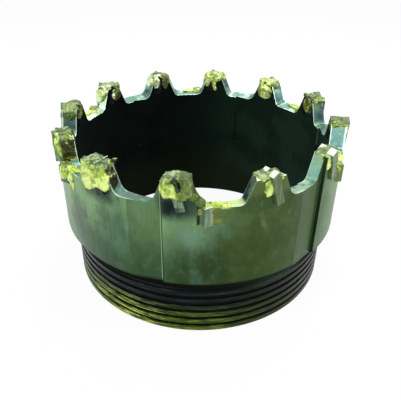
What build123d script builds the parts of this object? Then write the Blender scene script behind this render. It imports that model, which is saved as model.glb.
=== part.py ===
from build123d import *
from itertools import cycle
from math import cos, radians, sin, sqrt, tan
import os

# A carbide-tipped core bit for a rotary core barrel, standing on its threaded pin with the
# teeth up. Millimetres, +Z towards the teeth, origin at the centre of the pin's end face.
# Angles round the axis count counterclockwise from +X, seen from above.

# Turned blank
body_diameter = 146.0
wall = 7.25
shoulder_width = 4.5
relief_below_groove = 0.5
pin_length = 32.8
thread_length = 24.4
floor_height = 72.9
tooth_height = 10.6
pin_chamfer = 0.7
bore_chamfer = 0.5
shoulder_chamfer = 0.4

# Thread on the pin: right-handed, with broad crests and narrow grooves
thread_pitch = 4.3
groove_depth = 0.85
groove_mouth = 1.9
groove_root = 1.0
groove_start_height = 0.87
groove_over_cut = 0.4

# Teeth, and the gullets milled between them with a floor that falls towards the bore
tooth_count = 12
first_tooth_angle = 172.7
gullet_width = 16.2
gullet_flank_angle = 22.1
gullet_fall_angle = 12.0
gullet_left_radius = 4.5
gullet_right_radius = 3.2

# Waterways, one at every second tooth: a flat outside and one in the bore, each with a step
marked_tooth_step = 2
outer_way_depth = 1.46
outer_way_angle = -5.0
inner_way_depth = 1.0
inner_way_angle = -12.7
inner_way_sweep = 11.5
inner_way_rise = 8.2

# Square cutting prisms of carbide, leaning back, with their ends ground to a slope. They are
# set by hand, so each tooth has its own turn and its own distances from the tooth's middle.
outer_prism_side = 3.7
inner_prism_side = 3.3
prism_lean = 14.0
prism_end_slope = 34.0
prism_chamfer = 0.3
seat_clearance = 0.1
outer_prism_proud = 1.7
outer_prism_depth = 11.9
outer_prism_stand_up = 1.7
inner_prism_proud = 0.4
inner_prism_depth = 9.5
inner_prism_stand_up = 0.8
prism_turns = (6, -8, 4, 1, 10, -10, 5, -6, 8, -4, 3, -9)
outer_prism_offsets = (4.4, 3.4, 5.2, 2.0, 3.9, 0.6, 3.2, 4.6, 2.6, 4.0, 3.0, 4.8)
inner_prism_offsets = (2.2, 3.0, 2.6, 1.8, 2.6, 3.3, 2.4, 3.4, 2.0, 2.8, 3.2, 2.2)

# Braze over each tooth: a cap between the prisms, and pads where it ran down either face
cap_height = 1.5
cap_inset = 0.5
cap_margin = 0.9
cap_corner_radius = 1.2
cap_edge_radius = 0.8
inner_pad_rise = 1.2
pad_top_drop = 0.5
pad_root = 1.5
pad_foot_margin = 0.35
pad_head_margin = 1.9
pad_foot_radius = 3.4
pad_head_radius = 1.2
pad_edge_share = 0.45
corner_limit = 0.8  # corners in plan stay within this share of the half width that they round
outer_pad_rise = (3.6, 3.6, 0.8, 4.6, 3.6, 4.4, 3.4, 3.8, 3.2, 3.9, 3.5, 3.7)
outer_pad_proud = (1.3, 1.5, 2.6, 2.9, 0.8, 0.9, 1.0, 1.2, 1.4, 1.0, 1.2, 1.3)
inner_pad_proud = (0.9, 0.8, 0.8, 0.7, 0.7, 0.5, 0.7, 1.3, 1.7, 1.1, 1.4, 1.5)

# Gauge prisms in a milled notch behind every second tooth, with braze on one side
gauge_angle = 9.3
gauge_turn = 30.0
gauge_prism_side = 4.2
gauge_proud = 2.3
gauge_depth = 8.2
gauge_length = 9.1
notch_left = 3.7
notch_right = 9.2
gauge_braze_start = 0.9
gauge_braze_height = 6.9
gauge_braze_proud = 0.35
gauge_braze_round = 0.3

# Sizes that follow
body_radius = body_diameter / 2
bore_radius = body_radius - wall
pin_radius = body_radius - shoulder_width
relief_radius = pin_radius - groove_depth - relief_below_groove
tooth_top = floor_height + tooth_height
tooth_pitch_angle = 360 / tooth_count
tooth_angles = [first_tooth_angle + n * tooth_pitch_angle for n in range(tooth_count)]
marked_angles = tooth_angles[marked_tooth_step - 1 :: marked_tooth_step]
over_cut = wall
inner_way_foot = pin_length + inner_way_rise
outer_prism_foot = tooth_top - outer_prism_depth
inner_prism_foot = tooth_top - inner_prism_depth
outer_prism_radius = body_radius + outer_prism_proud - outer_prism_side / 2
inner_prism_radius = bore_radius - inner_prism_proud + inner_prism_side / 2
outer_prism_run = (outer_prism_depth + over_cut) / cos(radians(prism_lean))
inner_prism_run = (inner_prism_depth + over_cut) / cos(radians(prism_lean))
gauge_foot = floor_height - gauge_depth
gauge_reach = gauge_prism_side * (cos(radians(gauge_turn)) + sin(radians(gauge_turn))) / 2
gauge_radius = body_radius + gauge_proud - gauge_reach
notch_radius = gauge_radius - gauge_reach - seat_clearance

os.makedirs("parts", exist_ok=True)


def write(part, name):
    part.label = name
    export_step(part, f"parts/{name}.step")


def tooth_width(radius):
    """The width of a tooth across its top, at a radius."""
    half_pitch = radians(tooth_pitch_angle / 2)
    half_gullet = gullet_width / 2 + tooth_height * tan(radians(gullet_flank_angle))
    return 2 * (radius * tan(half_pitch) - half_gullet / cos(half_pitch))


def radial_plane(angle, radius, height, rise=0.0):
    """A plane facing outwards: X runs counterclockwise, Y up, tipped back by the rise."""
    across = radians(angle)
    up = radians(rise)
    return Plane(
        origin=(radius * cos(across), radius * sin(across), height),
        x_dir=(-sin(across), cos(across), 0),
        z_dir=(cos(across) * cos(up), sin(across) * cos(up), sin(up)),
    )


def level_plane(angle, height):
    """A level plane on the axis whose X points outwards at an angle and Y counterclockwise."""
    across = radians(angle)
    return Plane(origin=(0, 0, height), x_dir=(cos(across), sin(across), 0), z_dir=(0, 0, 1))


def prism_seat(angle, radius, offset, height, lean, turn):
    """The plane under a prism's foot, square to the prism's axis."""
    place = Location((0, 0, 0), (0, 0, angle))
    foot = Location((radius, offset, height), (lean, 0, 0))
    return Plane(place * foot * Location((0, 0, 0), (0, 0, turn)))


def prism_end(seat, angle, height, slope):
    """The plane of a prism's end, falling clockwise by the slope through the prism's axis."""
    across = radians(angle)
    fall = radians(slope)
    middle = seat.origin + seat.z_dir * ((height - seat.origin.Z) / seat.z_dir.Z)
    upwards = (sin(across) * sin(fall), -cos(across) * sin(fall), cos(fall))
    return Plane(origin=middle, z_dir=upwards)


outer_seats = [
    prism_seat(angle, outer_prism_radius, offset, outer_prism_foot, prism_lean, turn)
    for angle, offset, turn in zip(tooth_angles, cycle(outer_prism_offsets), cycle(prism_turns))
]
inner_seats = [
    prism_seat(angle, inner_prism_radius, offset, inner_prism_foot, prism_lean, turn)
    for angle, offset, turn in zip(tooth_angles, cycle(inner_prism_offsets), cycle(prism_turns))
]
gauge_seats = [
    prism_seat(angle + gauge_angle, gauge_radius, 0, gauge_foot, 0, gauge_turn)
    for angle in marked_angles
]

# The groove of the thread, swept up its helix from below the pin's end into the relief
with BuildPart() as groove:
    with BuildLine() as helix:
        Helix(
            pitch=thread_pitch,
            height=thread_length + thread_pitch + groove_mouth - groove_start_height,
            radius=pin_radius,
            center=(0, 0, groove_start_height - thread_pitch),
        )
    with BuildSketch(Plane(origin=helix.line @ 0, x_dir=(1, 0, 0), z_dir=helix.line % 0)):
        with BuildLine():
            flare = (groove_mouth - groove_root) / 2 * groove_over_cut / groove_depth
            Polyline(
                (groove_over_cut, groove_mouth / 2 + flare),
                (-groove_depth, groove_root / 2),
                (-groove_depth, -groove_root / 2),
                (groove_over_cut, -groove_mouth / 2 - flare),
                close=True,
            )
        make_face()
    sweep(path=helix.line)

# The steel before its seats are cut: turned all over, gulleted, and relieved for water
with BuildPart() as blank:
    with BuildSketch(Plane.XZ):
        with BuildLine():
            relief_run = pin_radius - relief_radius
            Polyline(
                (bore_radius + bore_chamfer, 0),
                (pin_radius - pin_chamfer, 0),
                (pin_radius, pin_chamfer),
                (pin_radius, thread_length),
                (relief_radius, thread_length + relief_run),
                (relief_radius, pin_length),
                (body_radius - shoulder_chamfer, pin_length),
                (body_radius, pin_length + shoulder_chamfer),
                (body_radius, tooth_top),
                (bore_radius, tooth_top),
                (bore_radius, bore_chamfer),
                close=True,
            )
        make_face()
    revolve(axis=Axis.Z)
    add(groove.part, mode=Mode.SUBTRACT)

    # Gullets, each cut outwards along its falling floor
    gullet_start = bore_radius - over_cut
    gullet_run = body_radius - gullet_start
    gullet_height = tooth_height + 2 * over_cut
    gullet_spread = gullet_height * tan(radians(gullet_flank_angle))
    start_height = floor_height - gullet_run * tan(radians(gullet_fall_angle))
    with BuildSketch(
        *[
            radial_plane(angle + tooth_pitch_angle / 2, gullet_start, start_height, gullet_fall_angle)
            for angle in tooth_angles
        ]
    ):
        with BuildLine():
            Polyline(
                (-gullet_width / 2 - gullet_spread, gullet_height),
                (-gullet_width / 2, 0),
                (gullet_width / 2, 0),
                (gullet_width / 2 + gullet_spread, gullet_height),
                close=True,
            )
        make_face()
        fillet(vertices().group_by(Axis.Y)[0].sort_by(Axis.X)[0], gullet_left_radius)
        fillet(vertices().group_by(Axis.Y)[0].sort_by(Axis.X)[-1], gullet_right_radius)
    extrude(amount=gullet_run + over_cut, mode=Mode.SUBTRACT)

    # Outside waterways: each flat runs out to the left of its step
    outer_way_radius = body_radius - outer_way_depth
    outer_way_width = sqrt(body_radius**2 - outer_way_radius**2) + over_cut
    with BuildSketch(*[level_plane(angle + outer_way_angle, pin_length) for angle in marked_angles]):
        with Locations((outer_way_radius, 0)):
            Rectangle(over_cut, outer_way_width, align=(Align.MIN, Align.MAX))
    extrude(amount=tooth_top - pin_length, mode=Mode.SUBTRACT)

    # Waterways in the bore, deepening to the step in the same sense
    inner_way_start = radians(inner_way_sweep)
    with BuildSketch(
        *[level_plane(angle + inner_way_angle, inner_way_foot) for angle in marked_angles]
    ):
        with BuildLine():
            Polyline(
                (bore_radius - over_cut, 0),
                (bore_radius + inner_way_depth, 0),
                (bore_radius * cos(inner_way_start), -bore_radius * sin(inner_way_start)),
                close=True,
            )
        make_face()
    extrude(amount=tooth_top - inner_way_foot, mode=Mode.SUBTRACT)

# The finished steel, with a seat for every prism
with BuildPart() as bit_body:
    add(blank.part)
    with BuildSketch(*outer_seats):
        Rectangle(outer_prism_side + 2 * seat_clearance, outer_prism_side + 2 * seat_clearance)
    extrude(amount=outer_prism_run, mode=Mode.SUBTRACT)
    with BuildSketch(*inner_seats):
        Rectangle(inner_prism_side + 2 * seat_clearance, inner_prism_side + 2 * seat_clearance)
    extrude(amount=inner_prism_run, mode=Mode.SUBTRACT)
    with BuildSketch(
        *[radial_plane(angle + gauge_angle, notch_radius, gauge_foot) for angle in marked_angles]
    ):
        with Locations((-notch_left, 0)):
            Rectangle(
                notch_left + notch_right, tooth_top - gauge_foot, align=(Align.MIN, Align.MIN)
            )
    extrude(amount=body_radius - notch_radius + over_cut, mode=Mode.SUBTRACT)

write(bit_body.part, "bit_body")


def carbide_prism(seat, side, run, end):
    """A square prism standing on its seat, cut off at its end with the edges there broken."""
    with BuildPart() as prism:
        with BuildSketch(seat):
            Rectangle(side, side)
        extrude(amount=run)
        split(bisect_by=end, keep=Keep.BOTTOM)
        chamfer(prism.faces().sort_by(Axis(end.origin, end.z_dir))[-1].edges(), prism_chamfer)
    return prism.part


def prism_room(seat, side, run):
    """The space that a prism and its clearance take out of the braze."""
    with BuildPart() as room:
        with BuildSketch(seat):
            Rectangle(side + 2 * seat_clearance, side + 2 * seat_clearance)
        extrude(amount=run)
    return room.part


def face_pad(angle, radius, foot, proud, direction):
    """A pad of braze on one face of a tooth, rounded at its foot and along its edges."""
    half_foot = tooth_width(radius) / 2 - pad_foot_margin
    half_head = tooth_width(radius) / 2 - pad_head_margin
    pad_height = tooth_top + cap_height - pad_top_drop - foot
    with BuildPart() as pad:
        with BuildSketch(radial_plane(angle, radius - direction * pad_root, foot)):
            with BuildLine():
                Polyline(
                    (-half_foot, 0),
                    (half_foot, 0),
                    (half_head, pad_height),
                    (-half_head, pad_height),
                    close=True,
                )
            make_face()
            fillet(vertices().group_by(Axis.Y)[0], min(pad_foot_radius, half_foot * corner_limit))
            fillet(vertices().group_by(Axis.Y)[-1], min(pad_head_radius, half_head * corner_limit))
        extrude(amount=direction * (pad_root + proud))
        outwards = Axis((0, 0, 0), radial_plane(angle, 0, 0).z_dir * direction)
        fillet(pad.faces().sort_by(outwards)[-1].edges(), proud * pad_edge_share)
    return pad.part


def tooth_braze(angle, outer_foot, outer_proud, inner_proud, rooms):
    """The braze on one tooth: the cap and its two pads, less the steel and the prisms."""
    half_inner = tooth_width(bore_radius) / 2 - cap_margin
    half_outer = tooth_width(body_radius) / 2 - cap_margin
    with BuildPart() as braze:
        with BuildSketch(level_plane(angle, tooth_top - pad_root)):
            with BuildLine():
                Polyline(
                    (bore_radius + cap_inset, -half_inner),
                    (body_radius - cap_inset, -half_outer),
                    (body_radius - cap_inset, half_outer),
                    (bore_radius + cap_inset, half_inner),
                    close=True,
                )
            make_face()
            fillet(vertices(), min(cap_corner_radius, half_inner * corner_limit))
        extrude(amount=pad_root + cap_height)
        fillet(braze.faces().sort_by(Axis.Z)[-1].edges(), cap_edge_radius)
        add(face_pad(angle, body_radius, outer_foot, outer_proud, 1))
        add(face_pad(angle, bore_radius, inner_prism_foot + inner_pad_rise, inner_proud, -1))
        add(blank.part, mode=Mode.SUBTRACT)
        for room in rooms:
            add(room, mode=Mode.SUBTRACT)
    return braze.part


pads = zip(cycle(outer_pad_rise), cycle(outer_pad_proud), cycle(inner_pad_proud))
teeth = zip(tooth_angles, outer_seats, inner_seats, pads)
for number, (angle, outer_seat, inner_seat, pad) in enumerate(teeth, start=1):
    outer_end = prism_end(outer_seat, angle, tooth_top + outer_prism_stand_up, prism_end_slope)
    inner_end = prism_end(inner_seat, angle, tooth_top + inner_prism_stand_up, prism_end_slope)
    outer_prism = carbide_prism(outer_seat, outer_prism_side, outer_prism_run, outer_end)
    inner_prism = carbide_prism(inner_seat, inner_prism_side, inner_prism_run, inner_end)
    write(outer_prism, f"carbide_outer_{number:02d}")
    write(inner_prism, f"carbide_inner_{number:02d}")
    outer_rise, outer_proud, inner_proud = pad
    rooms = [
        prism_room(outer_seat, outer_prism_side, outer_prism_run),
        prism_room(inner_seat, inner_prism_side, inner_prism_run),
    ]
    braze = tooth_braze(angle, outer_prism_foot + outer_rise, outer_proud, inner_proud, rooms)
    write(braze, f"braze_{number:02d}")


def gauge_braze(angle, seat):
    """Braze in a notch, from the gauge prism to the notch's right-hand wall."""
    with BuildPart() as braze:
        with BuildSketch(radial_plane(angle + gauge_angle, notch_radius, gauge_foot)):
            with Locations((gauge_braze_start, 0)):
                Rectangle(
                    notch_right - gauge_braze_start,
                    gauge_braze_height,
                    align=(Align.MIN, Align.MIN),
                )
        extrude(amount=body_radius + gauge_braze_proud - notch_radius)
        outwards = Axis((0, 0, 0), radial_plane(angle + gauge_angle, 0, 0).z_dir)
        fillet(braze.faces().sort_by(outwards)[-1].edges(), gauge_braze_round)
        add(prism_room(seat, gauge_prism_side, gauge_length), mode=Mode.SUBTRACT)
    return braze.part


for number, (angle, seat) in enumerate(zip(marked_angles, gauge_seats), start=1):
    gauge_end = prism_end(seat, angle, gauge_foot + gauge_length, 0)
    gauge_prism = carbide_prism(seat, gauge_prism_side, gauge_length + over_cut, gauge_end)
    write(gauge_prism, f"gauge_carbide_{number}")
    write(gauge_braze(angle, seat), f"gauge_braze_{number}")
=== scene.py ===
import bmesh
import bpy
from math import cos, degrees, pi, radians, sin
from mathutils import Matrix, Vector, noise


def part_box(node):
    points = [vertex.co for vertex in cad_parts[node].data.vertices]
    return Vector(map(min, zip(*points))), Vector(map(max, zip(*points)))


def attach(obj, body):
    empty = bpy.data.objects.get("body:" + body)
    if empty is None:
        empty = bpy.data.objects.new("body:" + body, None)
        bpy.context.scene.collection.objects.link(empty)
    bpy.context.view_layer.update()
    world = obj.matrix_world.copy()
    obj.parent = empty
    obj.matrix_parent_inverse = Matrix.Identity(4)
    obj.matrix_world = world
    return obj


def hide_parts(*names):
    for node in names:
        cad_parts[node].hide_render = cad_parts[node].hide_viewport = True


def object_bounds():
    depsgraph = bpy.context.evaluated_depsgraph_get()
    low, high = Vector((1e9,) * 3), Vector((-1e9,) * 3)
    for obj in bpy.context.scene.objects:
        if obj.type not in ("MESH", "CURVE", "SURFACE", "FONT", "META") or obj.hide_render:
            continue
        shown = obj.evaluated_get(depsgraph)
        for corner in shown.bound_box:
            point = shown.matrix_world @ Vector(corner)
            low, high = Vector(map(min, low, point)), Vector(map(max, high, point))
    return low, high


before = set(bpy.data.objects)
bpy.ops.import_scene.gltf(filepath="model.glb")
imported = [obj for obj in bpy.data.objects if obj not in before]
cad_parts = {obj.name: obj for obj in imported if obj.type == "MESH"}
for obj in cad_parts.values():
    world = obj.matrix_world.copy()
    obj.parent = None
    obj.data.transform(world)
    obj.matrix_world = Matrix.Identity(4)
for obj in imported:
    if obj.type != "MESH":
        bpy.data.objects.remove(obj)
CAD_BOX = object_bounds()
MM = 0.001

# Sizes of the bit that the finishes and the modelled pieces follow, in metres
BODY_LOW, BODY_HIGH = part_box("bit_body")
BODY_R = BODY_HIGH.x
BORE_R = BODY_R - 7.25 * MM
PIN_R = BODY_R - 4.5 * MM
SHOULDER_Z = 32.8 * MM
THREAD_TOP_Z = 24.4 * MM
FLOOR_Z = 72.9 * MM
TOOTH_TOP_Z = BODY_HIGH.z
TOOTH_COUNT = 12
FIRST_TOOTH = radians(172.7)
TOOTH_PITCH = 2 * pi / TOOTH_COUNT

# Angles from the front, in degrees: a tooth, a tooth with a waterway, and that waterway's step
FIRST_AZIMUTH = -7.3
MARKED_AZIMUTH = -7.3
STEP_ANGLE = -5.0


def srgb(red, green, blue):
    """A colour as it looks on screen, 0 to 255, as the linear values that a shader takes."""
    def linear(value):
        value /= 255
        return value / 12.92 if value <= 0.04045 else ((value + 0.055) / 1.055) ** 2.4
    return (linear(red), linear(green), linear(blue), 1.0)


class Wire:
    """A shader socket that takes part in Python expressions."""

    def __init__(self, tree, socket):
        self.tree = tree
        self.socket = socket

    def node(self, kind, settings=None, inputs=None, output=0):
        """Any node: its settings are set first, then the values or links of its sockets."""
        made = self.tree.nodes.new(kind)
        for name, value in (settings or {}).items():
            setattr(made, name, value)
        for key, value in (inputs or {}).items():
            if isinstance(value, Wire):
                self.tree.links.new(value.socket, made.inputs[key])
            else:
                made.inputs[key].default_value = value
        return Wire(self.tree, made.outputs[output])

    def math(self, operation, *values, clamp=False):
        settings = {"operation": operation, "use_clamp": clamp}
        return self.node("ShaderNodeMath", settings, dict(enumerate(values)))

    def __add__(self, other):
        return self.math("ADD", self, other)

    def __sub__(self, other):
        return self.math("SUBTRACT", self, other)

    def __mul__(self, other):
        return self.math("MULTIPLY", self, other)

    def __truediv__(self, other):
        return self.math("DIVIDE", self, other)

    __radd__ = __add__
    __rmul__ = __mul__

    def __rsub__(self, other):
        return self.math("SUBTRACT", other, self)

    def above(self, start, end):
        """0 below the start and 1 past the end, smooth between them."""
        return self.node(
            "ShaderNodeMapRange",
            {"interpolation_type": "SMOOTHSTEP"},
            {"Value": self, "From Min": start, "From Max": end},
        )

    def near(self, centre, half_width):
        """1 at the centre and 0 a half width away."""
        return 1 - self.math("ABSOLUTE", self - centre).above(0.0, half_width)

    def mix(self, other, factor):
        """This colour with another laid over it by a factor."""
        return self.node(
            "ShaderNodeMix",
            {"data_type": "RGBA", "clamp_factor": True},
            {0: factor, 6: self, 7: other},
            2,
        )


def tint(first, colour):
    """A fixed colour as something that other colours can be laid over."""
    return first.node("ShaderNodeMix", {"data_type": "RGBA"}, {0: 0.0, 6: colour, 7: colour}, 2)


def new_finish(name, metallic, roughness, **sockets):
    """A material with its shader, the object's own position in millimetres and its direction."""
    finish = bpy.data.materials.new(name)
    finish.use_nodes = True
    tree = finish.node_tree
    shader = tree.nodes["Principled BSDF"]
    shader.inputs["Metallic"].default_value = metallic
    shader.inputs["Roughness"].default_value = roughness
    for socket, value in sockets.items():
        shader.inputs[socket.replace("_", " ")].default_value = value
    coordinate = tree.nodes.new("ShaderNodeTexCoord")
    place = Wire(tree, coordinate.outputs["Object"])
    place = place.node("ShaderNodeVectorMath", {"operation": "SCALE"}, {0: place, "Scale": 1 / MM})
    return finish, shader, place, Wire(tree, coordinate.outputs["Normal"])


def drive(shader, socket, wire):
    wire.tree.links.new(wire.socket, shader.inputs[socket])


def parts_of(vector):
    split = vector.node("ShaderNodeSeparateXYZ", inputs={0: vector}).socket.node
    return [Wire(vector.tree, split.outputs[index]) for index in range(3)]


def roundabout(place):
    """Radius, angle in degrees from the front and height of a point on the bit."""
    across, back, height = parts_of(place)
    squared = across * across + back * back
    angle = across.math("ARCTAN2", across, back * -1.0) * (180 / pi)
    return squared.math("SQRT", squared), angle, height


def outwardness(place, normal):
    """How far a surface faces away from the bit's axis, from -1 to 1."""
    across, back, _ = parts_of(place)
    side, depth, _ = parts_of(normal)
    radius = (across * across + back * back).math("SQRT", across * across + back * back)
    return (across * side + back * depth) / radius


def speckle(place, scale, detail=4.0, roughness=0.55, stretch=(1.0, 1.0, 1.0)):
    """Cloudy noise between 0 and 1, finer for a larger scale per millimetre."""
    mapped = place.node("ShaderNodeMapping", inputs={"Vector": place, "Scale": stretch})
    return place.node(
        "ShaderNodeTexNoise",
        inputs={"Vector": mapped, "Scale": scale, "Detail": detail, "Roughness": roughness},
    )


def bump(shader, height, strength, distance):
    made = height.node(
        "ShaderNodeBump", inputs={"Strength": strength, "Distance": distance, "Height": height}
    )
    drive(shader, "Normal", made)


def skirt_colour(place, angle, height):
    """Ground and heat-stained: darker downwards, blue-grey under each tooth, olive on the flats, with painted
    side light on the left and right, painted shade in the middle and a painted highlight and shade line at
    the step.
    """
    cloud = speckle(place, 0.035, 4.0)
    haze = speckle(place, 0.09, 5.0, 0.6, (1.0, 1.0, 0.5))
    mottle = speckle(place, 0.22, 6.0, 0.7, (1.0, 1.0, 0.6))
    streak = speckle(place, 0.8, 3.0, 0.6, (1.0, 1.0, 0.05))
    tooth = angle.math("WRAP", angle - FIRST_AZIMUTH, 15.0, -15.0)
    flat = angle.math("WRAP", angle - MARKED_AZIMUTH - STEP_ANGLE, 30.0, -30.0)
    colour = tint(place, srgb(52, 84, 50)).mix(srgb(120, 158, 110), height.above(38.0, 70.0))
    # The left and right sides are painted lighter: painted side light.
    lit_sides = (1 - angle.above(-50.0, -22.0)) + angle.above(18.0, 40.0)
    colour = colour.mix(srgb(140, 176, 128), lit_sides * 0.45)
    colour = colour.mix(srgb(40, 64, 46), cloud.above(0.45, 0.62) * 0.6)
    # The middle, right of the step, is painted darker olive: painted shade, with less of it high up at the
    # front.
    shaded = angle.above(-12.3, -6.0) * (1 - angle.above(36.0, 42.0))
    shaded = shaded * (1 - height.above(44.0, 74.0) * angle.near(-8.0, 26.0) * 0.7)
    colour = colour.mix(srgb(38, 52, 14), shaded * 0.6)
    colour = colour.mix(srgb(78, 114, 100), haze.above(0.5, 0.7) * 0.45)
    colour = colour.mix(srgb(140, 166, 116), (1 - haze.above(0.3, 0.45)) * height.above(45.0, 70.0) * 0.6)
    colour = colour.mix(srgb(40, 60, 40), streak.above(0.5, 0.8) * 0.35)
    on_flat = flat.above(-12.2, -11.6) * (1 - flat.above(-0.4, 0.0))
    colour = colour.mix(srgb(58, 78, 44), on_flat * 0.5)
    colour = colour.mix(srgb(36, 60, 20), on_flat * angle.near(43.0, 10.0) * 0.6)
    colour = colour.mix(srgb(118, 152, 128), mottle.above(0.46, 0.78) * 0.22)
    colour = colour.mix(srgb(34, 52, 34), (1 - mottle.above(0.3, 0.46)) * 0.45)
    colour = colour.mix(srgb(122, 160, 142), angle.near(-2.0, 9.0) * height.near(58.0, 9.0) * haze * 0.9)
    colour = colour.mix(srgb(60, 78, 10), angle.above(3.0, 14.0) * (1 - angle.above(36.0, 42.0)) * 0.4)
    colour = colour.mix(srgb(62, 88, 44), angle.near(44.0, 13.0) * 0.6)
    colour = colour.mix(srgb(58, 100, 36), angle.above(36.0, 47.0) * (1 - angle.above(84.0, 100.0)) * 0.5)
    beside = tooth.math("ABSOLUTE", tooth - 1.0)
    heat_stain_and_shade = (1 - beside.above(4.5, 9.0)) * height.above(64.5, 71.0)
    heat_stain_and_shade = heat_stain_and_shade * (1 - angle.above(4.0, 14.0) * 0.85)
    colour = colour.mix(srgb(28, 46, 48), heat_stain_and_shade * (haze * 0.8 + 0.45))
    # Near-black patches under the front tooth are painted shade beneath its braze, inside the heat stain.
    colour = colour.mix(srgb(14, 24, 22), heat_stain_and_shade * angle.near(-9.0, 7.0) * mottle.above(0.4, 0.55) * 0.8)
    gilt = height.above(74.0, 79.0) * haze.above(0.4, 0.52)
    colour = colour.mix(srgb(136, 150, 84), gilt * 0.22)
    # A painted highlight along the step's edge, and a painted shade line just beside it.
    colour = colour.mix(srgb(176, 208, 170), flat.near(-0.45, 0.32) * (streak * 0.8 + 0.2))
    colour = colour.mix(srgb(16, 30, 24), flat.near(0.12, 0.4) * 0.9)
    return colour.mix(srgb(24, 40, 30), (1 - height.above(33.0, 34.6)) * 0.8)


def pin_colour(place, radius, angle, height):
    """Blued near the shoulder with painted ring highlights, brassy towards the end with a painted highlight
    at the front left, and painted black as shade in the grooves.
    """
    rings = speckle(place, 0.9, 4.0, 0.65, (0.12, 0.12, 1.6))
    patch = speckle(place, 0.06, 4.0)
    low = (1 - height.above(5.0, 19.0)) * (angle.near(-30.0, 75.0) * 0.7 + 0.3)
    # Lighter blue rings on the blued steel are painted ring highlights.
    colour = tint(place, srgb(10, 18, 18)).mix(srgb(38, 56, 62), rings.above(0.5, 0.7))
    brassy = tint(place, srgb(62, 84, 16)).mix(srgb(142, 170, 40), rings.above(0.45, 0.62))
    brassy = brassy.mix(srgb(34, 34, 18), rings.math("ABSOLUTE", rings - 0.38).above(0.0, 0.05) * 0.25)
    colour = colour.mix(brassy, low * (patch.above(0.32, 0.55) * 0.5 + 0.5))
    # A bright painted highlight on the brass at the front left.
    colour = colour.mix(srgb(206, 220, 110), low * angle.near(-32.0, 26.0) * rings.above(0.48, 0.58) * 0.85)
    colour = colour.mix(srgb(22, 34, 12), angle.above(-6.0, 36.0) * 0.7)
    # The thread's grooves and the relief under the shoulder are painted black: painted shade.
    return colour.mix(srgb(8, 12, 10), 1 - radius.above(PIN_R / MM - 0.75, PIN_R / MM - 0.15))


def bore_colour(place, height):
    """Oily and nearly black, with a painted green sheen and painted highlights on the right side, and olive
    at the foot.
    """
    across, _, _ = parts_of(place)
    cloud = speckle(place, 0.05, 4.0)
    grain = speckle(place, 0.5, 4.0, 0.6, (1.0, 1.0, 0.3))
    # The right side is painted lighter green: a painted sheen.
    painted_sheen = across.above(-20.0, 50.0)
    colour = tint(place, srgb(3, 7, 5)).mix(srgb(34, 62, 46), painted_sheen * 0.7)
    colour = colour.mix(srgb(8, 20, 18), cloud.above(0.42, 0.6) * 0.6)
    colour = colour.mix(srgb(30, 38, 10), (1 - height.above(12.0, 40.0)) * grain * 0.8)
    # Pale spots on that side are painted highlights.
    return colour.mix(srgb(60, 88, 64), grain.above(0.62, 0.8) * painted_sheen * 0.3)


def milled_colour(place, radius, angle, height, upwards):
    """The gullets: pale floors with painted highlights, blue-grey flanks with painted light and shade by
    their angle, and bright worn edges with a painted highlight along them.
    """
    haze = speckle(place, 0.16, 5.0, 0.6)
    grain = speckle(place, 0.7, 4.0, 0.6)
    flank = tint(place, srgb(62, 90, 90)).mix(srgb(124, 168, 158), haze.above(0.42, 0.6))
    # Single flanks are painted lighter where light falls on them and darker where they lie in shade: painted
    # light and painted shade, by their angle.
    flank = flank.mix(srgb(158, 212, 192), angle.near(46.0, 14.0) * 0.8)
    flank = flank.mix(srgb(118, 160, 150), angle.near(80.0, 16.0) * 0.6)
    flank = flank.mix(srgb(50, 76, 80), (angle.near(106.0, 8.0) + angle.near(136.0, 8.0)) * 0.75)
    flank = flank.mix(srgb(48, 74, 80), angle.near(-90.0, 7.0) * 0.8)
    flank = flank.mix(srgb(196, 226, 196), angle.near(-119.0, 7.0) * 0.7)
    # The second tooth's right-hand flank is darkened to olive, and its rim is dimmed.
    darkened_flank = angle.near(-60.0, 8.0)
    flank = flank.mix(srgb(92, 100, 38), darkened_flank * 0.9)
    floor = tint(place, srgb(90, 126, 112)).mix(srgb(160, 190, 160), haze.above(0.45, 0.62))
    floor = floor.mix(srgb(212, 232, 160), angle.near(11.0, 18.0) * (haze * 0.8 + 0.6))
    # Whitish painted highlights on two gullet floors.
    floor = floor.mix(srgb(240, 250, 226), angle.near(18.0, 4.0) * 0.8)
    floor = floor.mix(srgb(228, 244, 214), angle.near(-112.0, 16.0) * (haze * 0.8 + 0.5))
    colour = flank.mix(floor, upwards.above(0.45, 0.8))
    colour = colour.mix(srgb(158, 172, 96), haze.above(0.44, 0.56) * height.above(77.0, 82.0) * 0.5)
    colour = colour.mix(srgb(40, 60, 54), grain.above(0.56, 0.72) * 0.5)
    # The rims of the gullets are worn, and painted bright along them as a painted highlight.
    edge = radius.near(BODY_R / MM, 1.1) + radius.near(BORE_R / MM, 0.55)
    edge = edge.math("MINIMUM", edge, 1.0) * (0.9 - darkened_flank * 0.7)
    return colour.mix(srgb(220, 250, 232), edge)


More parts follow.
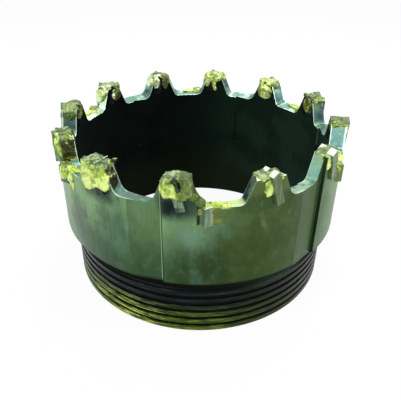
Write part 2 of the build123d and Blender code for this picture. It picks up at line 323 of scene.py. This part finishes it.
def steel_finish():
    """The body: ground outside, oily and blackened in the bore, painted black as shade in the thread's
    grooves, and bright in the gullets with painted highlights there.
    """
    finish, shader, place, normal = new_finish("ground_steel", 0.8, 0.42, Specular_IOR_Level=0.2)
    radius, angle, height = roundabout(place)
    _, _, upwards = parts_of(normal)
    outwards = outwardness(place, normal)
    grain = speckle(place, 0.5, 5.0, 0.6, (1.0, 1.0, 0.25))
    fine = speckle(place, 2.2, 3.0, 0.6)
    low = 1 - height.above(61.0, 62.0)
    inside = 1 - outwards.above(-0.75, -0.6)
    inside = inside.math("MAXIMUM", inside, low * (1 - radius.above(67.2, 67.4)))
    outside = outwards.above(0.8, 0.9)
    outside = outside.math("MAXIMUM", outside, low * radius.above(71.0, 71.2))
    step = angle.math("WRAP", angle - MARKED_AZIMUTH - STEP_ANGLE, 30.0, -30.0)
    outside = outside.math("MAXIMUM", outside, step.near(0.0, 0.9) * radius.above(70.6, 70.9))
    colour = milled_colour(place, radius, angle, height, upwards)
    colour = colour.mix(skirt_colour(place, angle, height), outside)
    colour = colour.mix(pin_colour(place, radius, angle, height), 1 - height.above(32.5, 32.9))
    colour = colour.mix(bore_colour(place, height), inside)
    # The steps of the waterways inside the bore lie in shade and are painted lighter: painted fill light.
    painted_light_sill = inside * (1 - outwards.math("ABSOLUTE", outwards).above(0.3, 0.6))
    colour = colour.mix(srgb(46, 74, 56), painted_light_sill * 0.8)
    drive(shader, "Base Color", colour)
    drive(shader, "Roughness", grain * 0.3 + fine * 0.14 + 0.16 + inside * 0.4)
    bump(shader, grain * 0.7 + fine * 0.3, 0.2, 0.0002)
    return finish


def braze_finish():
    """Run brass: golden, with painted pale highlights on its ridges, painted shade in its hollows, and
    grey-green on top.
    """
    finish, shader, place, normal = new_finish("braze", 0.65, 0.3)
    radius, angle, height = roundabout(place)
    _, _, upwards = parts_of(normal)
    shape = place.node("ShaderNodeNewGeometry", output=7)
    cloud = speckle(place, 0.16, 2.0)
    patch = speckle(place, 0.4, 3.0)
    fine = speckle(place, 1.4, 3.0)
    tooth = angle.math("WRAP", angle - FIRST_AZIMUTH, 15.0, -15.0)
    colour = tint(place, srgb(156, 184, 68)).mix(srgb(218, 240, 140), cloud.above(0.4, 0.58))
    colour = colour.mix(srgb(110, 116, 38), patch.above(0.5, 0.64) * 0.75)
    top = tint(place, srgb(56, 76, 56)).mix(srgb(150, 172, 124), patch.above(0.42, 0.62))
    top = top.mix(srgb(76, 80, 44), angle.near(90.0, 34.0) * 0.7)
    colour = colour.mix(top, upwards.above(0.3, 0.7) * height.above(81.8, 84.0) * 0.9)
    # Braze inside the bore is painted dark in patches as painted shade, and on the ninth and tenth teeth it
    # is painted lit, with pale painted highlights.
    inside = 1 - radius.above(65.5, 67.5)
    lit = angle.above(122.0, 134.0)
    colour = colour.mix(srgb(26, 32, 16), inside * (1 - lit) * cloud.above(0.4, 0.52) * 0.85)
    colour = colour.mix(srgb(224, 238, 150), lit * cloud.above(0.35, 0.55) * 0.6)
    # The right-hand flanks of the second and third tooth are darkened to dark brown, with gold at their foot.
    darkened_flank = tooth.above(4.4, 5.6) * (1 - angle.above(-26.0, -20.0)) * angle.above(-75.0, -70.0)
    darkened_flank = darkened_flank * (1 - upwards.above(0.5, 0.8)) * (1 - radius.above(72.2, 73.4))
    colour = colour.mix(srgb(34, 30, 12), darkened_flank * (0.98 - patch.above(0.54, 0.64) * 0.14))
    colour = colour.mix(srgb(150, 158, 56), darkened_flank * (1 - height.above(73.5, 76.0)) * angle.near(-60.0, 9.0))
    paled = (1 - angle.above(-116.0, -108.0)) * (1 - upwards.above(0.6, 0.9))
    colour = colour.mix(srgb(230, 246, 200), paled * tooth.above(-0.5, 1.0) * cloud.above(0.3, 0.5) * 0.85)
    colour = colour.mix(srgb(96, 104, 44), paled * (1 - tooth.above(-1.0, 0.0)) * 0.7)
    nose = angle.above(-7.2, -5.8) * (1 - angle.above(2.5, 4.5)) + angle.near(-91.0, 8.0) * 1.2
    colour = colour.mix(srgb(70, 90, 44), nose * (0.55 + patch * 0.6))
    # A painted highlight on top of the first tooth's braze.
    colour = colour.mix(srgb(206, 224, 150), angle.near(-92.0, 9.0) * height.above(82.2, 83.4) * 0.35)
    colour = colour.mix(srgb(80, 100, 66), angle.near(137.0, 5.0) * 0.85)
    dulled = angle.above(2.0, 4.0) * (1 - angle.above(20.0, 24.0)) * (1 - height.above(72.0, 73.5))
    dull = tint(place, srgb(96, 98, 36)).mix(srgb(66, 92, 48), angle.above(3.8, 6.4))
    dull = dull.mix(srgb(140, 148, 48), height.near(66.8, 2.2) * angle.near(5.6, 2.4) * 0.5)
    colour = colour.mix(dull, dulled * 0.92)
    crest = angle.near(36.0, 26.0) * height.above(81.5, 83.0)
    colour = colour.mix(srgb(104, 124, 72), crest * 0.6)
    colour = colour.mix(srgb(50, 50, 20), fine.above(0.58, 0.74) * 0.4)
    # Hollows of the braze, found by how pointed its skin is, are painted darker: painted shade.
    colour = colour.mix(srgb(40, 40, 18), (1 - shape.above(0.41, 0.48)) * 0.8)
    plain = (1 - darkened_flank.math("MAXIMUM", darkened_flank, nose * 0.7)) * (1 - crest * 0.8)
    # Ridges of the braze are painted pale as painted highlights, except on the darkened flanks, the noses and
    # the crests.
    colour = colour.mix(srgb(236, 246, 180), shape.above(0.54, 0.66) * plain * 0.42)
    drive(shader, "Base Color", colour)
    drive(shader, "Roughness", fine * 0.35 + 0.18 + upwards.above(0.3, 0.7) * 0.22)
    bump(shader, patch * 0.7 + fine * 0.3, 0.22, 0.0003)
    return finish


def carbide_finish():
    """Ground prisms: grey sides with grinding lines along them, painted shade at their feet, in a slit and
    inside the bore, and ends painted bright as a highlight.
    """
    finish, shader, place, normal = new_finish("carbide", 0.6, 0.35)
    radius, angle, height = roundabout(place)
    _, _, upwards = parts_of(normal)
    grind = speckle(place, 1.3, 3.0, 0.6, (1.0, 1.0, 0.06))
    fine = speckle(place, 1.2, 4.0)
    colour = tint(place, srgb(88, 108, 86)).mix(srgb(136, 160, 126), grind.above(0.42, 0.62))
    # The foot of the third tooth's outer prism is painted dark: painted shade between the braze lobes.
    colour = colour.mix(srgb(30, 42, 34), angle.near(-34.0, 8.0) * (1 - height.above(74.0, 78.0)))
    # Where the front prism shows through a slit in its braze it is painted dark: painted shade in the slit.
    slit = angle.near(-8.0, 6.0) * height.above(78.0, 79.5)
    colour = colour.mix(srgb(22, 32, 24), slit)
    colour = colour.mix(srgb(70, 92, 84), angle.near(-57.0, 7.0) * 0.8)
    colour = colour.mix(srgb(150, 160, 84), fine.above(0.52, 0.7) * height.above(72.0, 80.0) * 0.6)
    # The prisms' sides inside the bore are painted nearly black: painted shade.
    colour = colour.mix(srgb(8, 14, 10), (1 - radius.above(66.5, 67.5)) * 0.96)
    colour = colour.mix(srgb(104, 122, 62), angle.near(60.0, 11.0) * 0.8)
    colour = colour.mix(srgb(84, 102, 62), angle.near(24.0, 8.0) * 0.75)
    # The front prism's foot is painted dark: painted shade.
    foot = angle.near(-8.0, 6.0) * (1 - height.above(73.2, 74.0))
    colour = colour.mix(srgb(34, 50, 42), foot * 0.9)
    # The prisms' ground ends are painted nearly white, except in the slit: a painted highlight of the light
    # they reflect.
    colour = colour.mix(srgb(242, 252, 232), upwards.above(0.6, 0.75) * (1 - slit))
    far = angle.above(66.0, 72.0) + (1 - angle.above(-20.0, -14.0))
    colour = colour.mix(srgb(92, 102, 56), far * upwards.above(0.3, 0.6) * 0.85)
    colour = colour.mix(srgb(140, 158, 84), upwards.above(0.6, 0.75) * (1 - height.above(75.0, 76.0)))
    colour = colour.mix(srgb(120, 138, 96), fine.above(0.6, 0.75) * 0.5)
    drive(shader, "Base Color", colour)
    drive(shader, "Roughness", fine * 0.3 + 0.2)
    bump(shader, grind * 0.7 + fine * 0.3, 0.2, 0.0002)
    return finish


def set_finish(piece, finish):
    piece.data.materials.clear()
    piece.data.materials.append(finish)


STEEL = steel_finish()
BRAZE = braze_finish()
CARBIDE = carbide_finish()


def tooth_frame(number):
    """The directions rightwards, outwards and up at a tooth, as seen from outside."""
    angle = FIRST_TOOTH + (number - 1) * TOOTH_PITCH
    outwards = Vector((cos(angle), sin(angle), 0))
    rightwards = Vector((-sin(angle), cos(angle), 0))
    return rightwards, outwards, Vector((0, 0, 1))


def local_matrix(number, centre, half, tilt=0.0, yaw=0.0):
    """A box of half sizes at a place beside a tooth: across, out from the axis and up, in mm."""
    rightwards, outwards, up = tooth_frame(number)
    frame_of_tooth = Matrix((rightwards, outwards, up)).transposed()
    spin = Matrix.Rotation(radians(tilt), 3, "Y") @ Matrix.Rotation(radians(yaw), 3, "Z")
    turned = frame_of_tooth @ spin @ Matrix.Diagonal(Vector(half))
    place = frame_of_tooth @ Vector(centre)
    return Matrix.Translation(place * MM) @ (turned * MM).to_4x4()


def add_blob(bm, number, centre, half, tilt=0.0, yaw=0.0):
    matrix = local_matrix(number, centre, half, tilt, yaw)
    bmesh.ops.create_icosphere(bm, subdivisions=3, radius=1.0, matrix=matrix)


def add_slab(bm, number, centre, half, tilt=0.0, yaw=0.0):
    matrix = local_matrix(number, centre, half, tilt, yaw)
    bmesh.ops.create_cube(bm, size=2.0, matrix=matrix)


def add_shard(bm, number, centre, half, tilt=0.0, yaw=0.0, seed=0):
    """A torn leaf of braze: a thin plate with a ragged, curling upper edge."""
    leaf = bmesh.new()
    bmesh.ops.create_cube(leaf, size=2.0)
    lengthways = [edge for edge in leaf.edges if edge.verts[0].co.x * edge.verts[1].co.x < 0]
    bmesh.ops.subdivide_edges(leaf, edges=lengthways, cuts=LEAF_CUTS)
    for point in leaf.verts:
        along, through, up = point.co
        ragged = noise.noise(Vector((along * 5.1, seed * 3.1, 0.5)))
        curl = 0.9 * (1 - along * along) + 0.4 * noise.noise(Vector((seed, along * 2.7, 2.0)))
        if up > 0:
            point.co = (along, curl + 0.6 * through - 0.8 * ragged, 0.55 + 0.75 * ragged)
        else:
            point.co = (along, curl + through, up)
    leaf.transform(local_matrix(number, centre, half, tilt, yaw))
    mesh = bpy.data.meshes.new("torn_leaf")
    leaf.to_mesh(mesh)
    leaf.free()
    bm.from_mesh(mesh)
    bpy.data.meshes.remove(mesh)


# How often a torn leaf is cut across its length before its edge is pulled about
LEAF_CUTS = 5
# The braze of every tooth, in mm beside the tooth: blobs, slabs and torn leaves
LUMPS = {
    1: {
        "blobs": [
            ((-0.5, 73.0, 79.6), (5.4, 1.5, 5.2)),
            ((6.2, 69.8, 81.2), (1.1, 3.6, 3.4), -22),
            ((6.6, 71.6, 81.2), (1.1, 2.4, 3.2), -22),
            ((4.8, 67.4, 80.4), (1.6, 1.8, 4.6), -22),
            ((0.6, 66.0, 80.6), (3.9, 1.3, 4.2)),
            ((2.6, 70.0, 84.4), (3.0, 3.4, 1.3)),
            ((-3.0, 69.4, 84.6), (2.4, 3.4, 1.2)),
        ],
        "slabs": [((0, 69.4, 83.4), (5.2, 3.2, 1.0))],
        "shards": [
            ((3.4, 72.4, 85.2), (1.6, 0.6, 1.2), 8, 10),
            ((3.8, 67.4, 85.0), (1.5, 0.6, 1.3), -6, 60),
        ],
    },
    2: {
        "blobs": [
            ((-0.3, 73.2, 79.4), (5.4, 1.6, 5.0)),
            ((6.9, 69.4, 79.6), (1.2, 3.7, 5.4), -22),
            ((6.8, 72.0, 80.2), (1.5, 2.0, 5.2), -22),
            ((5.8, 67.6, 79.4), (1.5, 1.5, 5.4), -22),
            ((7.6, 68.6, 75.4), (1.8, 2.6, 2.2), -22),
            ((0.4, 66.0, 80.4), (3.6, 1.3, 4.0)),
        ],
        "slabs": [((0, 69.4, 83.4), (5.2, 3.2, 1.1))],
        "shards": [
            ((3.0, 72.8, 85.2), (1.8, 0.6, 1.1), -8, -14),
            ((3.6, 68.0, 85.0), (1.8, 0.6, 1.1), 6, 80),
        ],
    },
    3: {
        "blobs": [
            ((-2.2, 72.8, 80.4), (4.9, 2.5, 5.6)),
            ((-2.7, 73.4, 76.0), (3.9, 2.0, 4.8)),
            ((-3.6, 72.8, 73.4), (2.4, 1.8, 2.0)),
            ((6.8, 73.1, 77.3), (2.9, 1.9, 4.4), 4),
            ((2.8, 73.4, 75.6), (3.4, 1.6, 2.6)),
            ((2.6, 73.6, 78.6), (4.4, 1.8, 4.4)),
            ((2.0, 73.8, 82.6), (3.0, 1.9, 3.2)),
            ((6.6, 72.0, 79.6), (1.7, 2.4, 5.4), -18),
            ((7.4, 70.2, 79.2), (1.5, 3.2, 5.8), -20),
            ((0.4, 66.2, 80.6), (3.8, 1.2, 4.0)),
        ],
        "slabs": [((0.2, 69.8, 83.6), (5.6, 4.2, 1.1))],
        "shards": [
            ((-3.2, 72.6, 84.6), (3.4, 0.6, 1.1), -6, 20),
            ((2.4, 70.4, 84.9), (4.6, 0.6, 1.2), 6, -42),
            ((5.4, 67.6, 85.4), (2.8, 0.5, 1.1), -18, -20),
        ],
    },
    4: {
        "blobs": [
            ((-3.4, 72.3, 81.6), (3.3, 3.4, 5.0)),
            ((-3.6, 72.6, 79.4), (2.7, 2.9, 3.2)),
            ((-0.4, 73.0, 79.0), (3.0, 2.9, 2.4)),
            ((-1.7, 73.5, 81.4), (2.3, 2.3, 4.0), -6),
            ((1.9, 73.6, 78.6), (2.9, 2.2, 2.4), 20),
            ((4.1, 72.6, 81.8), (3.0, 3.3, 4.6)),
            ((4.3, 73.7, 81.4), (2.7, 2.2, 3.9)),
            ((6.8, 71.8, 77.4), (2.6, 2.2, 2.6), 35),
            ((9.2, 71.4, 75.0), (2.8, 1.9, 1.8), 35),
            ((0.4, 66.4, 81.0), (3.8, 1.4, 4.2)),
            ((0.6, 69.4, 84.6), (5.4, 3.6, 2.0)),
        ],
        "slabs": [((0, 69.4, 83.6), (5.2, 3.4, 1.2))],
        "shards": [
            ((2.0, 73.4, 85.8), (2.6, 0.45, 0.9), -26, 12),
            ((3.4, 70.4, 85.6), (2.6, 0.5, 1.0), 8, 60),
        ],
    },
    5: {
        "blobs": [
            ((-0.8, 72.5, 79.0), (2.3, 1.5, 4.3)),
            ((4.6, 71.6, 82.6), (1.6, 1.6, 1.6)),
            ((-1.6, 66.2, 81.6), (2.9, 0.9, 2.9)),
        ],
        "slabs": [((0, 69.4, 83.3), (5.3, 3.4, 0.7))],
        "shards": [],
    },
    6: {
        "blobs": [
            ((-4.2, 72.4, 80.6), (1.7, 1.4, 3.6)),
            ((3.6, 72.6, 79.6), (2.8, 1.7, 4.4)),
            ((1.2, 69.8, 83.8), (3.8, 2.9, 1.4)),
            ((-1.0, 66.2, 81.8), (2.9, 0.9, 2.6)),
        ],
        "slabs": [((0, 69.4, 83.3), (5.2, 3.4, 0.8))],
        "shards": [],
    },
    7: {
        "blobs": [
            ((0.0, 72.9, 80.4), (5.2, 1.5, 4.6)),
            ((-0.6, 66.4, 81.6), (3.4, 1.2, 3.2)),
            ((-3.8, 69.8, 84.0), (2.4, 3.4, 1.2)),
        ],
        "slabs": [((0, 69.4, 83.6), (5.4, 3.5, 1.1))],
        "shards": [
            ((-3.0, 72.0, 85.1), (2.6, 0.5, 1.1), -8, 8),
            ((-3.4, 68.6, 85.0), (2.6, 0.5, 1.1), 10, 70),
        ],
    },
    8: {
        "blobs": [
            ((0.0, 73.0, 80.0), (5.2, 1.5, 4.8)),
            ((0.4, 65.9, 80.0), (3.4, 1.5, 4.8)),
            ((-3.2, 66.4, 79.0), (1.6, 1.5, 4.2)),
            ((-5.0, 71.2, 82.8), (1.2, 2.2, 1.8), 22),
        ],
        "slabs": [((0, 69.4, 83.8), (5.3, 3.5, 1.2))],
        "shards": [
            ((-2.0, 68.4, 85.4), (3.0, 0.6, 1.1), 4, 10),
            ((3.4, 70.6, 85.2), (2.4, 0.6, 1.0), -6, 80),
        ],
    },
    9: {
        "blobs": [
            ((0.0, 73.0, 80.2), (5.2, 1.6, 4.8)),
            ((0.2, 65.4, 78.6), (5.2, 1.9, 5.0)),
            ((2.6, 65.8, 81.4), (2.4, 1.7, 3.0)),
            ((-1.6, 66.2, 82.4), (2.6, 1.7, 2.4)),
            ((-5.6, 70.2, 82.4), (1.2, 3.4, 2.6), 22),
        ],
        "slabs": [((0, 69.4, 83.8), (5.2, 3.6, 1.3))],
        "shards": [
            ((0.6, 68.0, 85.8), (2.4, 0.7, 1.1), 4, 24),
            ((3.4, 67.0, 85.0), (1.8, 0.6, 1.1), -22, 10),
        ],
    },
    10: {
        "blobs": [
            ((0.4, 73.0, 80.4), (5.0, 1.5, 4.6)),
            ((0.4, 65.9, 80.0), (1.6, 1.3, 5.0)),
            ((-0.6, 65.8, 75.8), (1.2, 1.2, 1.6)),
            ((0.4, 66.5, 82.8), (5.0, 1.8, 2.8)),
            ((4.0, 66.2, 80.4), (1.5, 1.2, 4.2), -16),
            ((5.8, 69.8, 82.4), (1.2, 3.5, 3.0), -22),
            ((-5.4, 69.8, 82.8), (1.2, 3.2, 2.2), 22),
            ((0.2, 69.2, 84.6), (4.2, 3.4, 1.6)),
        ],
        "slabs": [((0, 69.4, 83.8), (5.4, 3.6, 1.2))],
        "shards": [((1.0, 68.6, 85.6), (3.0, 0.7, 1.0), 4, 16)],
    },
    11: {
        "blobs": [
            ((-1.0, 72.9, 80.4), (5.0, 1.7, 4.6)),
            ((6.2, 69.8, 81.4), (1.4, 3.6, 4.2), -22),
            ((4.6, 67.6, 81.8), (2.0, 2.0, 3.8), -18),
            ((-2.8, 66.2, 80.8), (2.8, 1.3, 4.2)),
            ((3.4, 66.1, 80.8), (2.3, 1.3, 4.4), -12),
            ((1.6, 69.4, 84.7), (4.4, 3.4, 1.7)),
        ],
        "slabs": [((0, 69.4, 83.7), (5.3, 3.4, 1.2))],
        "shards": [((0.8, 69.4, 85.8), (2.2, 0.7, 0.9), 6, 30)],
    },
    12: {
        "blobs": [
            ((-0.6, 72.9, 80.0), (5.2, 1.7, 4.8)),
            ((6.6, 69.8, 80.6), (1.6, 3.7, 5.0), -22),
            ((5.0, 67.6, 81.0), (2.0, 2.0, 4.4), -18),
            ((-1.8, 65.9, 79.4), (3.6, 1.5, 4.4)),
            ((1.8, 69.6, 84.6), (4.2, 3.4, 1.8)),
        ],
        "slabs": [((0, 69.4, 83.7), (5.3, 3.5, 1.2))],
        "shards": [
            ((2.2, 70.0, 85.8), (2.2, 0.7, 0.9), -10, 24),
            ((-3.6, 67.6, 85.0), (2.0, 0.6, 1.0), 4, 6),
        ],
    },
}


def mesh_object(name, bm):
    mesh = bpy.data.meshes.new(name)
    bm.to_mesh(mesh)
    bm.free()
    piece = bpy.data.objects.new(name, mesh)
    bpy.context.scene.collection.objects.link(piece)
    return piece


def fuse(piece, voxel, rounds):
    """Melts overlapping closed shapes into one skin and smooths it."""
    remesh = piece.modifiers.new("melt", "REMESH")
    remesh.mode = "VOXEL"
    remesh.voxel_size = voxel
    smooth = piece.modifiers.new("ease", "SMOOTH")
    smooth.factor = 0.5
    smooth.iterations = rounds
    seen = piece.evaluated_get(bpy.context.evaluated_depsgraph_get())
    mesh = bpy.data.meshes.new_from_object(seen)
    piece.modifiers.clear()
    piece.data = mesh


def roughen(mesh, layers):
    """Moves every point along its normal by layers of noise, kept inside the CAD's box."""
    low, high = CAD_BOX
    moved = []
    for point in mesh.vertices:
        shift = 0.0
        for size, height in layers:
            shift += height * MM * noise.noise(point.co / (size * MM))
        place = point.co + point.normal * shift
        moved.append([min(max(value, a), b) for value, a, b in zip(place, low, high)])
    for point, place in zip(mesh.vertices, moved):
        point.co = place


def build_lump(number):
    spec = LUMPS[number]
    bm = bmesh.new()
    for blob in spec["blobs"]:
        add_blob(bm, number, *blob)
    for slab in spec["slabs"]:
        add_slab(bm, number, *slab)
    for seed, shard in enumerate(spec["shards"]):
        add_shard(bm, number, *shard, seed=number * 5 + seed)
    lump = mesh_object(f"melted_braze_{number:02d}", bm)
    fuse(lump, 0.26 * MM, 5)
    roughen(lump.data, ((3.1, 0.6), (1.4, 0.24), (0.6, 0.06)))
    lump.data.shade_smooth()
    set_finish(lump, BRAZE)
    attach(lump, "root")
    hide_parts(f"braze_{number:02d}")


# The braze beside a gauge prism, in mm beside the middle of its notch
GAUGE_BLOBS = (
    ((5.0, 70.9, 69.0), (4.6, 2.7, 4.2)),
    ((2.6, 71.8, 71.4), (2.4, 1.9, 2.0)),
    ((7.0, 70.9, 68.0), (2.4, 2.1, 3.0)),
    ((-0.6, 71.6, 72.8), (2.8, 2.4, 1.0)),
    ((-2.3, 73.5, 71.4), (1.3, 1.1, 1.7)),
)
GAUGE_SLAB = ((5.0, 70.7, 68.8), (4.6, 2.1, 4.3))
# Braze that also ran over the first gauge prism
GAUGE_DRIP = ((0.2, 74.0, 70.0), (3.6, 1.6, 3.8))
GAUGE_ANGLE = 9.3


def build_gauge_lump(number):
    tooth = 2 * number + GAUGE_ANGLE / degrees(TOOTH_PITCH)
    bm = bmesh.new()
    for centre, half in GAUGE_BLOBS:
        add_blob(bm, tooth, centre, half)
    if number == 1:
        add_blob(bm, tooth, *GAUGE_DRIP)
    add_slab(bm, tooth, *GAUGE_SLAB)
    lump = mesh_object(f"melted_gauge_braze_{number}", bm)
    fuse(lump, 0.26 * MM, 5)
    roughen(lump.data, ((3.1, 0.5), (1.4, 0.25), (0.6, 0.06)))
    lump.data.shade_smooth()
    set_finish(lump, BRAZE)
    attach(lump, "root")
    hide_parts(f"gauge_braze_{number}")


for name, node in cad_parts.items():
    if name == "bit_body":
        set_finish(node, STEEL)
    elif "carbide" in name:
        set_finish(node, CARBIDE)
    else:
        set_finish(node, BRAZE)
for number in LUMPS:
    build_lump(number)
for number in range(1, TOOTH_COUNT // 2 + 1):
    build_gauge_lump(number)


def floor_finish():
    """Pale, and nearly white to the camera and in mirrors, so that only a faint shadow stays."""
    finish = bpy.data.materials.new("pale_floor")
    finish.use_nodes = True
    tree = finish.node_tree
    shader = tree.nodes["Principled BSDF"]
    shader.inputs["Base Color"].default_value = (0.9, 0.9, 0.9, 1)
    shader.inputs["Roughness"].default_value = 0.9
    glow = tree.nodes.new("ShaderNodeEmission")
    blend = tree.nodes.new("ShaderNodeMixShader")
    tree.links.new((seen_directly(tree) * 0.93).socket, blend.inputs[0])
    tree.links.new(shader.outputs[0], blend.inputs[1])
    tree.links.new(glow.outputs[0], blend.inputs[2])
    tree.links.new(blend.outputs[0], tree.nodes["Material Output"].inputs["Surface"])
    return finish


def seen_directly(tree):
    """1 for rays from the camera and for those that mirrors and glass send on."""
    path = Wire(tree, tree.nodes.new("ShaderNodeLightPath").outputs["Is Camera Ray"])
    outputs = path.socket.node.outputs
    seen = path.math("MAXIMUM", path, Wire(tree, outputs["Is Glossy Ray"]))
    return seen.math("MAXIMUM", seen, Wire(tree, outputs["Is Transmission Ray"]))


def lay_floor():
    bm = bmesh.new()
    bmesh.ops.create_grid(bm, x_segments=1, y_segments=1, size=2.0)
    floor = mesh_object("floor", bm)
    set_finish(floor, floor_finish())


def add_lamp(name, place, size, power, target=(0, 0, 0.05)):
    lamp = bpy.data.lights.new(name, "AREA")
    lamp.size = size
    lamp.energy = power
    holder = bpy.data.objects.new(name, lamp)
    bpy.context.scene.collection.objects.link(holder)
    aim = Vector(target) - Vector(place)
    holder.rotation_euler = aim.to_track_quat("-Z", "Y").to_euler()
    holder.location = place


def light_stage():
    world = bpy.data.worlds.new("studio")
    bpy.context.scene.world = world
    world.use_nodes = True
    tree = world.node_tree
    background = tree.nodes["Background"]
    background.inputs["Color"].default_value = (1, 1, 1, 1)
    tree.links.new((seen_directly(tree) * 0.5 + 0.5).socket, background.inputs["Strength"])
    add_lamp("key", (-0.5, -0.5, 0.6), 0.35, 4.0)
    add_lamp("fill", (0.6, -0.2, 0.4), 0.35, 2.5)
    add_lamp("top", (0.1, 0.4, 0.7), 0.4, 3.0)


def set_camera():
    """The camera fitted to the photograph, which is 401 pixels wide and 400 high."""
    width, height = 401, 400
    focal_px = 455.38
    centre_px = (200.19, 178.65)
    distance, elevation, roll = 0.2548, 0.51255, 0.01368
    target = Vector((0, 0, 0.045))
    lens = bpy.data.cameras.new("camera")
    lens.sensor_width = 36.0
    lens.lens = focal_px * lens.sensor_width / width
    lens.shift_x = (width / 2 - centre_px[0]) / width
    lens.shift_y = (centre_px[1] - height / 2) / width
    lens.clip_start = 0.01
    lens.clip_end = 20.0
    holder = bpy.data.objects.new("camera", lens)
    bpy.context.scene.collection.objects.link(holder)
    away = Vector((0, -cos(elevation), sin(elevation)))
    turn = away.to_track_quat("Z", "Y").to_matrix().to_4x4() @ Matrix.Rotation(roll, 4, "Z")
    holder.matrix_world = Matrix.Translation(target + away * distance) @ turn
    bpy.context.scene.camera = holder


lay_floor()
light_stage()
set_camera()
bpy.context.scene.view_settings.view_transform = "Standard"
